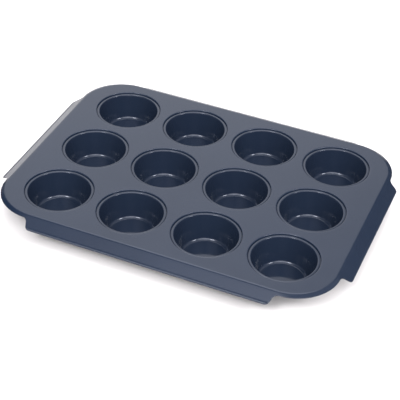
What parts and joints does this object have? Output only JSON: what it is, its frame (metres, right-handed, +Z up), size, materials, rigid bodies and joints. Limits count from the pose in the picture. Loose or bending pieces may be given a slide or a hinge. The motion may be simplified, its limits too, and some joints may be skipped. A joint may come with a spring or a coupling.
{
  "type": "muffin tin",
  "caption": "Non-stick baking tin: round tapered cups set in seats in a flat deck sheet with rounded corners and a flared skirt along each side, for baking muffins or cupcakes.",
  "frame": {"origin": "middle of the tin on the surface that its cups stand on", "axes": "+X along the long side, +Y across it, +Z up out of the cups' mouths"},
  "size_m": [0.394, 0.2958, 0.0296],
  "materials": {
    "deck_coating": "dark blue-grey non-stick coating on sheet steel, semi-gloss",
    "cup_coating": "dark blue-grey non-stick coating on drawn steel, semi-gloss"
  },
  "bodies": {
    "root": {"deck_sheet": "deck_coating", "cup_r1c1": "cup_coating", "cup_r1c2": "cup_coating", "cup_r1c3": "cup_coating", "cup_r1c4": "cup_coating", "cup_r2c1": "cup_coating", "cup_r2c2": "cup_coating", "cup_r2c3": "cup_coating", "cup_r2c4": "cup_coating", "cup_r3c1": "cup_coating", "cup_r3c2": "cup_coating", "cup_r3c3": "cup_coating", "cup_r3c4": "cup_coating"}
  },
  "joints": []
}
